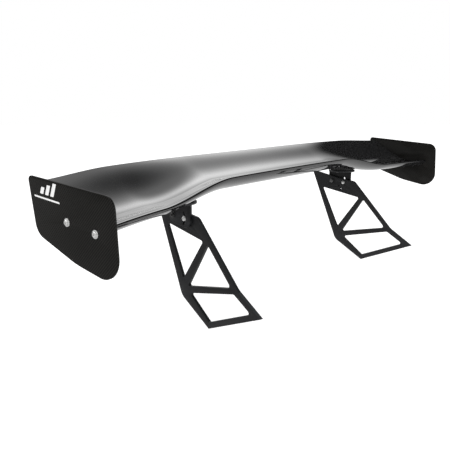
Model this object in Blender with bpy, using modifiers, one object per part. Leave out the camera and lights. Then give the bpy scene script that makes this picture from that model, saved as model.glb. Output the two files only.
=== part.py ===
"""Racing rear wing: hollow carbon aerofoil, two endplates and two tilting pedestals.

X runs along the span, +Y points to the rear of the car and +Z points up.
Metres throughout. The origin is at mid span, at the height of the pedestals' heels
and at mid depth of the whole object.
Heights and depths of the shapes below are measured from the pedestals' heels (their
lowest rear corners), and every object hangs on an empty that carries them to the origin.
"""
import math

import bmesh
import bpy
from mathutils import Matrix, Vector

# ---------------------------------------------------------------- driving dimensions
SPAN = 1.700                # over the outer faces of the endplates
HEEL_TO_ORIGIN = -0.02562   # shift in Y from the heel datum to the object's middle
GAP = 0.0003                # clearance between pieces that touch or pass through

# Aerofoil planform and height; the nose is the seam line between the two skins
NOSE_Y = 0.025              # nose at mid span
NOSE_SWEEP = 0.102          # how far the nose has moved forward at the tips
NOSE_SWEEP_POWER = 2.9
NOSE_Z = 0.400              # nose height at mid span
NOSE_DROP = 0.041           # the nose is this much lower outboard
NOSE_DROP_START = 0.318
NOSE_DROP_END = 0.616
TAIL_Y = 0.240              # trailing edge at mid span
TAIL_SWEEP = 0.085
TAIL_SWEEP_START = 0.270
TAIL_SWEEP_POWER = 2.1
TAIL_Z = 0.4405
TAIL_DROP = 0.0085
TAIL_DROP_START = 0.600

# Aerofoil section, as fractions of the chord or in metres
CAMBER_FRONT = 0.245        # bends the front of the section down
CAMBER_REAR = 0.037         # and the rear
HALF_THICK_MID = 0.014      # half of the greatest thickness at mid span
HALF_THICK_TIP = 0.012
THICK_SHAPE = 3.494         # makes sqrt(s) * (1 - s)^2 peak at 1
TAIL_HALF_THICK = 0.00215
SKIN = 0.002                # laminate thickness
INNER_GAP = 0.0010          # between a skin and what it is bonded over
CHORD_STEPS = 12
SECTION_PLANES = (0.0, 0.08, 0.16, 0.24, 0.30, 0.34, 0.375, 0.535, 0.575, 0.62, 0.68, 0.74, 0.79)

# Inner structure
RIB_WIDTH = 0.016
RIB_STEPS = (2, 10)         # chord steps at the rib's front and rear
SPAR_STEPS = (4.6, 5.6)     # chord steps at the spar's front and rear face
SPAR_FLANGE = 0.003
SPAR_WEB_HALF = 0.16        # half width of the web, in chord steps
HARDPOINT_STEPS = (6, 9)
HARDPOINT_HALF_WIDTH = 0.045

# Endplates
ENDPLATE_THICK = 0.005
ENDPLATE_SCREWS = ((-0.054, 0.347), (0.041, 0.358))

# Pedestals
TOE = math.radians(5.886)   # each plate points outward at the front
PLATE_X = 0.4474            # plate's middle plane at the heel
PLATE_THICK = 0.010
PIVOT = (0.1337, 0.300)     # along the plate, up
LOCK = (0.0860, 0.296)
TILT_LIMIT = math.radians(18.0)
SPARE_HOLES = ((0.104, 0.283), (0.0965, 0.270))

# Swivel brackets
EAR_THICK = 0.008
DISC_RADIUS = 0.050
DISC_THICK = 0.006
DISC_TOP = 0.3425
DISC_ALONG = 0.104          # disc centre, along the plate
DISC_OUT = 0.0168           # disc centre, outward from the plate's middle plane
PAD_RADIUS = 0.043
PILOT_RADIUS = 0.008
CLAMP_RADIUS = 0.033        # clamp screws, from the swivel axis
SWIVEL_LIMITS = (math.radians(-9.0), math.radians(21.0))
SLOT_MARGIN = math.radians(1.5)

# Fasteners
M6 = 0.003                  # shank radii
M8 = 0.004
HOLE_GAP = 0.0003
ROUND_STEPS = 12


# ---------------------------------------------------------------- scene and helpers
def clear_scene():
    for obj in list(bpy.data.objects):
        bpy.data.objects.remove(obj, do_unlink=True)


def new_collection(name):
    collection = bpy.data.collections.new(name)
    bpy.context.scene.collection.children.link(collection)
    return collection


def make_material(name, colour, roughness, metallic, coat=0.0):
    material = bpy.data.materials.new(name)
    material.use_nodes = True
    shader = material.node_tree.nodes["Principled BSDF"]
    shader.inputs["Base Color"].default_value = (*colour, 1.0)
    shader.inputs["Roughness"].default_value = roughness
    shader.inputs["Metallic"].default_value = metallic
    shader.inputs["Coat Weight"].default_value = coat
    return material


def gloss_carbon(name):
    return make_material(name, (0.020, 0.020, 0.022), 0.12, 0.0, coat=1.0)


def satin_carbon(name):
    return make_material(name, (0.018, 0.018, 0.018), 0.35, 0.0, coat=0.5)


def black_anodised(name):
    return make_material(name, (0.020, 0.020, 0.022), 0.45, 0.6)


def bright_steel(name):
    return make_material(name, (0.75, 0.75, 0.74), 0.18, 1.0)


def raw_aluminium(name):
    return make_material(name, (0.62, 0.63, 0.65), 0.35, 1.0)


def inner_carbon(name):
    return make_material(name, (0.030, 0.030, 0.030), 0.6, 0.0)


def moulded_rubber(name):
    return make_material(name, (0.025, 0.025, 0.025), 0.7, 0.0)


def add_object(name, mesh, material, place, parent):
    """Make one sub-part from a mesh, put it in place and hang it on its parent."""
    obj = bpy.data.objects.new(name, mesh)
    mesh.materials.clear()
    mesh.materials.append(material)
    PARTS.objects.link(obj)
    hang(obj, place, parent)
    return obj


def hang(obj, place, parent):
    """Place an object, where place is measured from the heel datum."""
    obj.parent = parent
    if parent is not None:
        obj.matrix_parent_inverse = parent.matrix_world.inverted()
        obj.matrix_world = DATUM @ place
    else:
        obj.matrix_world = place
    bpy.context.view_layer.update()


def add_empty(name, place, parent):
    empty = bpy.data.objects.new(name, None)
    empty.empty_display_size = 0.03
    PARTS.objects.link(empty)
    hang(empty, place, parent)
    return empty


def mesh_from_bmesh(name, shape, sharp_angle=35.0):
    bmesh.ops.recalc_face_normals(shape, faces=shape.faces)
    mesh = bpy.data.meshes.new(name)
    shape.to_mesh(mesh)
    shape.free()
    mesh.shade_smooth()
    mesh.set_sharp_from_angle(angle=math.radians(sharp_angle))
    return mesh


def evaluated_mesh(obj, name):
    """The object's mesh with its modifiers applied, welded, as a new mesh."""
    bpy.context.view_layer.update()
    graph = bpy.context.evaluated_depsgraph_get()
    mesh = bpy.data.meshes.new_from_object(obj.evaluated_get(graph))
    shape = bmesh.new()
    shape.from_mesh(mesh)
    bpy.data.meshes.remove(mesh)
    bmesh.ops.remove_doubles(shape, verts=shape.verts, dist=0.00001)
    return mesh_from_bmesh(name, shape)


def combine(name, base, cutters=(), additions=()):
    """Boolean a list of meshes into or out of a base mesh, all in one local frame."""
    holder = bpy.data.objects.new(name, base)
    PARTS.objects.link(holder)
    tools = []
    for operation, meshes in (("UNION", additions), ("DIFFERENCE", cutters)):
        for mesh in meshes:
            tool = bpy.data.objects.new(name + "_cutter", mesh)
            tool.hide_render = True
            tool.display_type = "WIRE"
            CUTTERS.objects.link(tool)
            tools.append(tool)
            modifier = holder.modifiers.new("Boolean", "BOOLEAN")
            modifier.operation = operation
            modifier.solver = "EXACT"
            modifier.object = tool
    result = evaluated_mesh(holder, name)
    for obj in [holder, *tools]:
        bpy.data.objects.remove(obj)
    return result


# ---------------------------------------------------------------- shapes
def rounded_outline(corners, steps=5):
    """Points of a closed outline whose corners (a, b, radius) are rounded by arcs."""
    points = []
    count = len(corners)
    for index, (a, b, radius) in enumerate(corners):
        corner = Vector((a, b))
        if radius == 0.0:
            points.append(corner)
            continue
        before = (Vector(corners[index - 1][:2]) - corner).normalized()
        after = (Vector(corners[(index + 1) % count][:2]) - corner).normalized()
        half = before.angle(after) / 2.0
        middle = corner + (before + after).normalized() * radius / math.sin(half)
        start = corner + before * radius / math.tan(half) - middle
        end = corner + after * radius / math.tan(half) - middle
        turn = start.angle_signed(end)
        for step in range(steps + 1):
            spoke = start.copy()
            spoke.rotate(Matrix.Rotation(-turn * step / steps, 2))
            points.append(middle + spoke)
    return points


def circle(centre, radius, steps=ROUND_STEPS):
    angles = [2.0 * math.pi * step / steps for step in range(steps)]
    return [Vector((centre[0] + radius * math.cos(angle), centre[1] + radius * math.sin(angle)))
            for angle in angles]


def arc_slot(centre, radius, start, end, half_width, steps=8, cap_steps=5):
    """Outline of a round-ended slot that follows an arc about centre."""
    points = []
    for side, first, last in ((1.0, start, end), (-1.0, end, start)):
        for step in range(steps + 1):
            angle = first + (last - first) * step / steps
            reach = radius + side * half_width
            points.append(Vector((centre[0] + reach * math.cos(angle),
                                  centre[1] + reach * math.sin(angle))))
        cap = Vector((centre[0] + radius * math.cos(last), centre[1] + radius * math.sin(last)))
        for step in range(1, cap_steps):
            angle = last + (0.0 if side > 0.0 else math.pi) + math.pi * step / cap_steps
            points.append(cap + half_width * Vector((math.cos(angle), math.sin(angle))))
    return points


def flat_plate(name, outlines, thickness):
    """A plate whose first outline is its edge and the others its holes, about Z = 0."""
    curve = bpy.data.curves.new(name, "CURVE")
    curve.dimensions = "2D"
    curve.fill_mode = "BOTH"
    curve.extrude = thickness / 2.0
    for outline in outlines:
        spline = curve.splines.new("POLY")
        spline.points.add(len(outline) - 1)
        for point, place in zip(spline.points, outline):
            point.co = (place[0], place[1], 0.0, 1.0)
        spline.use_cyclic_u = True
    holder = bpy.data.objects.new(name, curve)
    PARTS.objects.link(holder)
    mesh = evaluated_mesh(holder, name)
    bpy.data.objects.remove(holder)
    bpy.data.curves.remove(curve)
    return mesh


def stand_up(mesh, outward):
    """Turn a plate drawn in XY so that its first axis is Y, its second Z, at X = outward."""
    turn = Matrix(((0, 0, 1, outward), (1, 0, 0, 0), (0, 1, 0, 0), (0, 0, 0, 1)))
    mesh.transform(turn)
    return mesh


def turned(name, profile, steps=ROUND_STEPS):
    """A solid of revolution about Z; the profile (radius, height) runs from top to bottom."""
    shape = bmesh.new()
    points = [shape.verts.new((radius, 0.0, height)) for radius, height in profile]
    for first, second in zip(points, points[1:]):
        shape.edges.new((first, second))
    mesh = bpy.data.meshes.new(name)
    shape.to_mesh(mesh)
    shape.free()
    holder = bpy.data.objects.new(name, mesh)
    PARTS.objects.link(holder)
    screw = holder.modifiers.new("Screw", "SCREW")
    screw.axis = "Z"
    screw.steps = steps
    screw.render_steps = steps
    screw.use_merge_vertices = True
    screw.merge_threshold = 0.00001
    result = evaluated_mesh(holder, name)
    bpy.data.objects.remove(holder)
    return result


def cylinder(name, radius, low, high, centre=(0.0, 0.0), steps=ROUND_STEPS):
    shape = bmesh.new()
    bmesh.ops.create_cone(
        shape, cap_ends=True, segments=steps, radius1=radius, radius2=radius, depth=high - low,
        matrix=Matrix.Translation((centre[0], centre[1], (low + high) / 2.0)))
    return mesh_from_bmesh(name, shape)


def loft(name, rings):
    """Closed solid through equal-length rings of points, capped at both ends."""
    shape = bmesh.new()
    rows = [[shape.verts.new(point) for point in ring] for ring in rings]
    count = len(rows[0])
    for row, following in zip(rows, rows[1:]):
        for index in range(count):
            after = (index + 1) % count
            shape.faces.new((row[index], row[after], following[after], following[index]))
    for row in (rows[0], rows[-1]):
        cap_skin(shape, row)
    bmesh.ops.triangulate(shape, faces=shape.faces, quad_method="SHORT_EDGE")
    return mesh_from_bmesh(name, shape)


def cap_skin(shape, row):
    """Close a ring whose second half runs back beside its first, strip by strip."""
    last = len(row) - 1
    for index in range(len(row) // 2 - 1):
        shape.faces.new((row[index], row[index + 1], row[last - index - 1], row[last - index]))


# ---------------------------------------------------------------- aerofoil
def ease(value, start, end):
    share = min(max((value - start) / (end - start), 0.0), 1.0)
    return share * share * (3.0 - 2.0 * share)


TIP = SPAN / 2.0 - ENDPLATE_THICK - GAP
SPAR_END = TIP - RIB_WIDTH - 0.002


def nose_point(x):
    reach = abs(x)
    y = NOSE_Y - NOSE_SWEEP * (reach / TIP) ** NOSE_SWEEP_POWER
    z = NOSE_Z - NOSE_DROP * ease(reach, NOSE_DROP_START, NOSE_DROP_END)
    return Vector((y, z))


def tail_point(x):
    reach = abs(x)
    swept = max(reach - TAIL_SWEEP_START, 0.0) / (TIP - TAIL_SWEEP_START)
    y = TAIL_Y - TAIL_SWEEP * swept ** TAIL_SWEEP_POWER
    z = TAIL_Z - TAIL_DROP * ease(reach, TAIL_DROP_START, TIP)
    return Vector((y, z))


def half_thickness(x, share):
    widest = HALF_THICK_MID + (HALF_THICK_TIP - HALF_THICK_MID) * ease(abs(x), 0.0, TIP)
    return widest * THICK_SHAPE * math.sqrt(share) * (1.0 - share) ** 2 + TAIL_HALF_THICK * share


def camber_point(x, share):
    """A point of the section's middle line and the line's upward unit normal, in (y, z)."""
    nose = nose_point(x)
    chord = tail_point(x) - nose
    up = Vector((-chord.y, chord.x)).normalized()

    def middle(fraction):
        bend = CAMBER_FRONT * (1.0 - fraction) + CAMBER_REAR * fraction
        return nose + chord * fraction - up * fraction * (1.0 - fraction) * bend

    small = 0.0005
    along = (middle(share + small) - middle(share - small)).normalized()
    return middle(share), Vector((-along.y, along.x))


def share_at(step):
    """Chord fraction of a chord step; the steps crowd towards the nose."""
    return (step / CHORD_STEPS) ** 2


def surface_point(x, step, side, depth=0.0):
    """A point under the upper (side 1) or lower (side -1) surface, depth inside it."""
    def outer(at):
        share = share_at(at)
        place, normal = camber_point(x, share)
        return place + normal * side * half_thickness(x, share)

    if step == 0:
        place, normal = camber_point(x, 0.0)
        inward = Vector((normal.y, -normal.x))
        return place + normal * side * GAP / 2.0 + inward * depth
    along = (outer(step + 0.02) - outer(step - 0.02)).normalized()
    inward = Vector((along.y, -along.x)) * side
    return outer(step) + inward * depth


def at_station(x, points):
    return [Vector((x, point.x, point.y)) for point in points]


def stations(low, high):
    """Span positions of all section rings between two limits, with the feature planes."""
    centre = disc_centre(1.0)
    half = [*SECTION_PLANES, centre.x]
    half += [centre.x - HARDPOINT_HALF_WIDTH, centre.x + HARDPOINT_HALF_WIDTH]
    half += [SPAR_END, TIP - RIB_WIDTH, TIP]
    both = sorted({round(x, 6) for x in half} | {round(-x, 6) for x in half})
    return [x for x in both if low - 0.000001 <= x <= high + 0.000001]


def skin_mesh(name, side):
    """One laminate of constant thickness from the nose seam to the trailing edge."""
    rings = []
    for x in stations(-TIP, TIP):
        outer = [surface_point(x, step, side) for step in range(CHORD_STEPS + 1)]
        inner = [surface_point(x, step, side, SKIN) for step in range(CHORD_STEPS + 1)]
        rings.append(at_station(x, outer + inner[::-1]))
    return loft(name, rings)


def filler_mesh(name, low, high, first, last):
    """A solid that fills the section between two chord steps and two span stations."""
    rings = []
    depth = SKIN + INNER_GAP
    for x in stations(low, high):
        upper = [surface_point(x, step, 1.0, depth) for step in range(first, last + 1)]
        lower = [surface_point(x, step, -1.0, depth) for step in range(first, last + 1)]
        rings.append(at_station(x, upper + lower[::-1]))
    return loft(name, rings)


def spar_mesh(name):
    """An I-section beam that follows the thickest part of the aerofoil."""
    front, rear = SPAR_STEPS
    middle = (front + rear) / 2.0
    near, far = middle - SPAR_WEB_HALF, middle + SPAR_WEB_HALF
    outer = SKIN + INNER_GAP
    inner = outer + SPAR_FLANGE
    shape = bmesh.new()
    rows = []
    for x in stations(-SPAR_END, SPAR_END):
        points = []
        for side, walk in ((1.0, 1), (-1.0, -1)):
            half = [(front, inner), (front, outer), (rear, outer), (rear, inner)]
            flange = [surface_point(x, step, side, depth) for step, depth in half][::walk]
            points += flange
            web = far if side > 0.0 else near
            points.append(surface_point(x, web, side, inner))
            points.append(surface_point(x, web, -side, inner))
        rows.append([shape.verts.new(point) for point in at_station(x, points)])
    count = len(rows[0])
    for row, following in zip(rows, rows[1:]):
        for index in range(count):
            after = (index + 1) % count
            shape.faces.new((row[index], row[after], following[after], following[index]))
    for row in (rows[0], rows[-1]):
        shape.faces.new(row)
    bmesh.ops.triangulate(shape, faces=shape.faces, quad_method="SHORT_EDGE")
    return mesh_from_bmesh(name, shape)


def wing_envelope(name, low, high):
    """Everything above the lower surface, a gap lower: trims what sits under the wing."""
    rings = []
    for x in stations(low, high):
        lower = [surface_point(x, step, -1.0, -GAP) for step in range(1, CHORD_STEPS + 1)]
        lid = [Vector((point.x, NOSE_Z + 0.1)) for point in lower]
        rings.append(at_station(x, lower + lid[::-1]))
    return loft(name, rings)


# ---------------------------------------------------------------- places
def plate_frame(side):
    """Frame of one pedestal: X across the plate, Y along it to the rear, Z up."""
    return Matrix.Translation((side * PLATE_X, 0.0, 0.0)) @ Matrix.Rotation(side * TOE, 4, "Z")


def disc_centre(side):
    return plate_frame(side) @ Vector((side * DISC_OUT, DISC_ALONG, 0.0))


def across_plate(side, outward, at):
    """Frame of a fastener square to the pedestal plate, with its head facing outward."""
    turn = Matrix.Rotation(side * math.pi / 2.0, 4, "Y")
    return plate_frame(side) @ Matrix.Translation((side * outward, at[0], at[1])) @ turn


def clamp_places(side):
    """The two clamp screws of one bracket, either side of its swivel axis."""
    centre = disc_centre(side)
    return {"inner": centre.x - side * CLAMP_RADIUS, "outer": centre.x + side * CLAMP_RADIUS}


# ---------------------------------------------------------------- fasteners
def button_screw_mesh(name, shank, head, head_height, length):
    """Domed screw with a round drive recess; its head sits on Z = 0."""
    recess = head * 0.42
    profile = [(0.0, head_height * 0.45), (recess, head_height * 0.45), (recess, head_height),
               (head * 0.68, head_height * 0.86), (head, head_height * 0.3), (head, 0.0),
               (shank, 0.0), (shank, -length + 0.0008), (shank * 0.75, -length), (0.0, -length)]
    return turned(name, profile)


def washer_mesh(name, hole, outer, thickness):
    outlines = [circle((0.0, 0.0), outer), circle((0.0, 0.0), hole)]
    return flat_plate(name, outlines, thickness)


def nut_mesh(name, hole, across_flats, height):
    """Hexagon nut from Z = 0 upward."""
    outlines = [circle((0.0, 0.0), across_flats / math.sqrt(3.0), 6), circle((0.0, 0.0), hole)]
    mesh = flat_plate(name, outlines, height)
    mesh.transform(Matrix.Translation((0.0, 0.0, height / 2.0)))
    return mesh


# ---------------------------------------------------------------- sub-parts
def build_wing():
    clamps = []
    for side in (-1.0, 1.0):
        for x in clamp_places(side).values():
            clamps.append(cylinder("clamp_hole", M6 + HOLE_GAP, 0.32, 0.374,
                                   (x, disc_centre(side).y)))
    add_object("wing_upper_skin", skin_mesh("wing_upper_skin", 1.0),
               gloss_carbon("upper_carbon"), Matrix(), DATUM_EMPTY)
    lower = combine("wing_lower_skin", skin_mesh("lower_blank", -1.0), cutters=clamps)
    add_object("wing_lower_skin", lower, gloss_carbon("lower_carbon"), Matrix(), DATUM_EMPTY)
    add_object("wing_spar", spar_mesh("wing_spar"), inner_carbon("spar_carbon"),
               Matrix(), DATUM_EMPTY)


def build_wing_inserts(side, label):
    centre = disc_centre(side)
    reach = sorted((side * (TIP - RIB_WIDTH), side * TIP))
    rib = filler_mesh("rib_blank", reach[0], reach[1], *RIB_STEPS)
    holes = []
    for place in ENDPLATE_SCREWS:
        hole = cylinder("rib_hole", M6 + HOLE_GAP, 0.78, 0.90)
        hole.transform(Matrix.Rotation(side * math.pi / 2.0, 4, "Y"))
        hole.transform(Matrix.Translation((0.0, place[0], place[1])))
        holes.append(hole)
    add_object("end_rib_" + label, combine("end_rib_" + label, rib, cutters=holes),
               raw_aluminium("rib_" + label), Matrix(), DATUM_EMPTY)
    hardpoint = filler_mesh("hardpoint_blank", centre.x - HARDPOINT_HALF_WIDTH,
                            centre.x + HARDPOINT_HALF_WIDTH, *HARDPOINT_STEPS)
    holes = [cylinder("hardpoint_hole", M6 + HOLE_GAP, 0.32, 0.42, (x, centre.y))
             for x in clamp_places(side).values()]
    add_object("hardpoint_" + label, combine("hardpoint_" + label, hardpoint, cutters=holes),
               raw_aluminium("hardpoint_alloy_" + label), Matrix(), DATUM_EMPTY)


def build_endplate(side, label):
    edge = rounded_outline(((0.182, 0.447, 0.010), (-0.114, 0.428, 0.030),
                            (-0.1235, 0.2455, 0.050), (0.020, 0.2705, 0.300),
                            (0.160, 0.3165, 0.040)), steps=7)
    holes = [circle(place, M6 + HOLE_GAP) for place in ENDPLATE_SCREWS]
    plate = stand_up(flat_plate("endplate_" + label, [edge, *holes], ENDPLATE_THICK), 0.0)
    middle = side * (SPAN - ENDPLATE_THICK) / 2.0
    add_object("endplate_" + label, plate, satin_carbon("endplate_carbon_" + label),
               Matrix.Translation((middle, 0.0, 0.0)), DATUM_EMPTY)
    turn = Matrix.Rotation(side * math.pi / 2.0, 4, "Y")
    washer_thick = 0.0016
    for position, place in zip(("front", "rear"), ENDPLATE_SCREWS):
        washer_x = SPAN / 2.0 + GAP + washer_thick / 2.0
        head_x = washer_x + washer_thick / 2.0 + GAP
        tag = position + "_" + label
        add_object("endplate_washer_" + tag,
                   washer_mesh("endplate_washer_" + tag, M6 + HOLE_GAP, 0.0092, washer_thick),
                   bright_steel("washer_steel_" + tag),
                   Matrix.Translation((side * washer_x, *place)) @ turn, DATUM_EMPTY)
        add_object("endplate_screw_" + tag,
                   button_screw_mesh("endplate_screw_" + tag, M6, 0.0068, 0.0038, 0.020),
                   bright_steel("screw_steel_" + tag),
                   Matrix.Translation((side * head_x, *place)) @ turn, DATUM_EMPTY)


def build_mount_pad(side, label):
    """Contour block under the wing, with a round pilot for the bracket to swivel on."""
    centre = disc_centre(side)
    low = DISC_TOP + GAP
    block = cylinder("pad_blank", PAD_RADIUS, low, 0.40, centre[:2], 28)
    reach = PAD_RADIUS + 0.03
    envelope = wing_envelope("pad_trim", centre.x - reach, centre.x + reach)
    holes = [cylinder("pad_hole", M6 + HOLE_GAP, 0.32, 0.40, (x, centre.y))
             for x in clamp_places(side).values()]
    pilot = cylinder("pad_pilot", PILOT_RADIUS, DISC_TOP - DISC_THICK + 0.001, low + 0.001,
                     centre[:2], 16)
    trimmed = combine("pad_trimmed", block, cutters=[envelope])
    pad = combine("mount_pad_" + label, trimmed, cutters=holes, additions=[pilot])
    add_object("mount_pad_" + label, pad, moulded_rubber("pad_" + label), Matrix(), DATUM_EMPTY)


def build_bracket(side, label, swivel):
    """Round flange under the wing with a hanging ear beside the pedestal."""
    floor = DISC_TOP - DISC_THICK
    lever = Vector(LOCK) - Vector(PIVOT)
    middle = math.atan2(lever.y, lever.x)
    sweep = TILT_LIMIT + SLOT_MARGIN
    lock_slot = arc_slot(PIVOT, lever.length, middle - sweep, middle + sweep, M6 + HOLE_GAP)
    edge = rounded_outline(((0.062, floor + 0.002, 0.0), (0.062, 0.267, 0.023),
                            (0.151, 0.281, 0.017), (0.151, floor + 0.002, 0.0)), steps=7)
    holes = [circle(PIVOT, M8 + HOLE_GAP), lock_slot]
    ear_x = side * (PLATE_THICK / 2.0 + GAP + EAR_THICK / 2.0)
    ear = stand_up(flat_plate("ear", [edge, *holes], EAR_THICK), ear_x)

    centre = (side * DISC_OUT, DISC_ALONG)
    disc_edge = circle(centre, DISC_RADIUS, 36)
    slots = []
    for outward in (1.0, -1.0):
        facing = (0.0 if side * outward > 0.0 else math.pi) - side * TOE
        limits = sorted(side * limit for limit in SWIVEL_LIMITS)
        slots.append(arc_slot(centre, CLAMP_RADIUS, facing + limits[0] - SLOT_MARGIN,
                              facing + limits[1] + SLOT_MARGIN, M6 + HOLE_GAP, 6))
    disc = flat_plate("disc", [disc_edge, *slots], DISC_THICK)
    disc.transform(Matrix.Translation((0.0, 0.0, DISC_TOP - DISC_THICK / 2.0)))
    bore = cylinder("bore", PILOT_RADIUS + HOLE_GAP, floor + 0.0005, DISC_TOP + 0.01, centre, 16)
    bracket = combine("swivel_bracket_" + label, disc, cutters=[bore], additions=[ear])
    add_object("swivel_bracket_" + label, bracket, black_anodised("bracket_" + label),
               plate_frame(side), swivel)


def build_clamp_screws(side, label):
    centre = disc_centre(side)
    upside_down = Matrix.Rotation(math.pi, 4, "X")
    for position, x in clamp_places(side).items():
        tag = position + "_" + label
        place = Matrix.Translation((x, centre.y, DISC_TOP - DISC_THICK - GAP))
        add_object("clamp_screw_" + tag,
                   button_screw_mesh("clamp_screw_" + tag, M6, 0.0060, 0.0042, 0.029),
                   black_anodised("clamp_steel_" + tag), place @ upside_down, DATUM_EMPTY)


def build_pedestal(side, label, tilt):
    edge = rounded_outline(((0.0, 0.0, 0.0), (0.111, 0.069, 0.040), (0.2175, 0.3375, 0.003),
                            (0.111, 0.3125, 0.060), (0.042, 0.303, 0.022),
                            (-0.108, 0.136, 0.060), (-0.190, 0.082, 0.0)))
    windows = [rounded_outline(corners, 4) for corners in (
        ((0.174, 0.2725, 0.005), (0.020, 0.242, 0.005), (0.104, 0.120, 0.004)),
        ((0.003, 0.236, 0.005), (-0.086, 0.137, 0.007), (0.085, 0.102, 0.004)),
        ((0.079, 0.083, 0.006), (-0.096, 0.123, 0.010), (-0.156, 0.085, 0.006),
         (-0.001, 0.019, 0.005)))]
    holes = [circle(PIVOT, M8 + HOLE_GAP), circle(LOCK, M6 + HOLE_GAP)]
    holes += [circle(place, 0.0028, 8) for place in SPARE_HOLES]
    plate = flat_plate("pedestal_" + label, [edge, *windows, *holes], PLATE_THICK)
    add_object("pedestal_" + label, stand_up(plate, 0.0), black_anodised("plate_" + label),
               plate_frame(side), tilt)


def build_joint_hardware(side, label, kind, at, shank, head, flats, parent, metal):
    """Bolt, washer and nut through the ear and the plate."""
    washer_thick = 0.0014
    nut_height = shank * 1.7
    outer_face = PLATE_THICK / 2.0 + GAP + EAR_THICK
    washer_at = outer_face + GAP + washer_thick / 2.0
    head_at = outer_face + washer_thick + 2.0 * GAP
    inner_face = -PLATE_THICK / 2.0
    length = head_at - inner_face + nut_height + 0.003
    tag = kind + "_{}_" + label
    add_object(tag.format("washer"),
               washer_mesh(tag.format("washer"), shank + HOLE_GAP, head * 1.3, washer_thick),
               metal(tag.format("washer_metal")), across_plate(side, washer_at, at), parent)
    add_object(tag.format("bolt"),
               button_screw_mesh(tag.format("bolt"), shank, head, shank * 1.3, length),
               metal(tag.format("bolt_metal")), across_plate(side, head_at, at), parent)
    nut_at = inner_face - GAP - nut_height
    add_object(tag.format("nut"),
               nut_mesh(tag.format("nut"), shank + HOLE_GAP, flats, nut_height),
               metal(tag.format("nut_metal")), across_plate(side, nut_at, at), parent)


def build_side(side, label):
    centre = disc_centre(side)
    swivel = add_empty("swivel_axis_" + label,
                       Matrix.Translation((centre.x, centre.y, DISC_TOP)), DATUM_EMPTY)
    tilt = add_empty("tilt_axis_" + label, across_plate(side, 0.0, PIVOT), swivel)
    build_wing_inserts(side, label)
    build_endplate(side, label)
    build_mount_pad(side, label)
    build_bracket(side, label, swivel)
    build_clamp_screws(side, label)
    build_pedestal(side, label, tilt)
    build_joint_hardware(side, label, "pivot", PIVOT, M8, 0.0072, 0.013, swivel, black_anodised)
    build_joint_hardware(side, label, "lock", LOCK, M6, 0.0056, 0.010, tilt, bright_steel)


clear_scene()
PARTS = new_collection("racing_rear_wing")
CUTTERS = new_collection("cutters")
DATUM = Matrix.Translation((0.0, HEEL_TO_ORIGIN, 0.0))
DATUM_EMPTY = add_empty("heel_datum", DATUM, None)
build_wing()
for wing_side, wing_label in ((-1.0, "left"), (1.0, "right")):
    build_side(wing_side, wing_label)
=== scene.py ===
import math

import bmesh
import bpy
from mathutils import Matrix, Vector


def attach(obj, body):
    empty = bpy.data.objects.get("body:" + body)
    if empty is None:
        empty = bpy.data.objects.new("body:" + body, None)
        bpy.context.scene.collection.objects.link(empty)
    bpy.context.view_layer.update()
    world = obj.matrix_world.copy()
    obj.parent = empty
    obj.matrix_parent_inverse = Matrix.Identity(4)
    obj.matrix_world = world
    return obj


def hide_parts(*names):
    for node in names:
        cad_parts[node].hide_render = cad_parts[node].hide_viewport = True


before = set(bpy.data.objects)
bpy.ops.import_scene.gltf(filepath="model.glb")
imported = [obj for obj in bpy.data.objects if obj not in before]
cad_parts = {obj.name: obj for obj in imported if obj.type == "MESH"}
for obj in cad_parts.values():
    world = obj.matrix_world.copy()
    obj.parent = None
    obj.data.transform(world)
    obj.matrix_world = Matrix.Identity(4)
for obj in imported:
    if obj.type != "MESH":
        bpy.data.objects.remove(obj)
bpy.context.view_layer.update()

# ---------------------------------------------------------------- dimensions, as in the CAD source
SPAN = 1.700
HEEL_TO_ORIGIN = -0.02562
GAP = 0.0003
NOSE_Y, NOSE_SWEEP, NOSE_SWEEP_POWER = 0.025, 0.102, 2.9
NOSE_Z, NOSE_DROP, NOSE_DROP_START, NOSE_DROP_END = 0.400, 0.041, 0.318, 0.616
TAIL_Y, TAIL_SWEEP, TAIL_SWEEP_START, TAIL_SWEEP_POWER = 0.240, 0.085, 0.270, 2.1
TAIL_Z, TAIL_DROP, TAIL_DROP_START = 0.4405, 0.0085, 0.600
CAMBER_FRONT, CAMBER_REAR = 0.245, 0.037
HALF_THICK_MID, HALF_THICK_TIP, THICK_SHAPE, TAIL_HALF_THICK = 0.014, 0.012, 3.494, 0.00215
SKIN = 0.002
CHORD_STEPS = 12
ENDPLATE_THICK = 0.005
ENDPLATE_CORNERS = ((0.182, 0.447, 0.010), (-0.114, 0.428, 0.030), (-0.1235, 0.2455, 0.050),
                    (0.020, 0.2705, 0.300), (0.160, 0.3165, 0.040))
ENDPLATE_SCREWS = ((-0.054, 0.347), (0.041, 0.358))
ENDPLATE_WASHER_RADIUS, ENDPLATE_WASHER_THICK = 0.0092, 0.0016
TIP = SPAN / 2.0 - ENDPLATE_THICK - GAP

TOE = math.radians(5.886)
PLATE_X = 0.4474
PLATE_THICK = 0.010
PIVOT, LOCK = (0.1337, 0.300), (0.0860, 0.296)
TILT_LIMIT = math.radians(18.0)
SPARE_HOLES, SPARE_RADIUS = ((0.104, 0.283), (0.0965, 0.270)), 0.0028
PEDESTAL_EDGE = ((0.0, 0.0, 0.0), (0.111, 0.069, 0.040), (0.2175, 0.3375, 0.003),
                 (0.111, 0.3125, 0.060), (0.042, 0.303, 0.022),
                 (-0.108, 0.136, 0.060), (-0.190, 0.082, 0.0))
PEDESTAL_WINDOWS = (
    ((0.174, 0.2725, 0.005), (0.020, 0.242, 0.005), (0.104, 0.120, 0.004)),
    ((0.003, 0.236, 0.005), (-0.086, 0.137, 0.007), (0.085, 0.102, 0.004)),
    ((0.079, 0.083, 0.006), (-0.096, 0.123, 0.010), (-0.156, 0.085, 0.006),
     (-0.001, 0.019, 0.005)))
EAR_THICK, EAR_FRONT, EAR_BACK = 0.008, 0.062, 0.151
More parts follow.
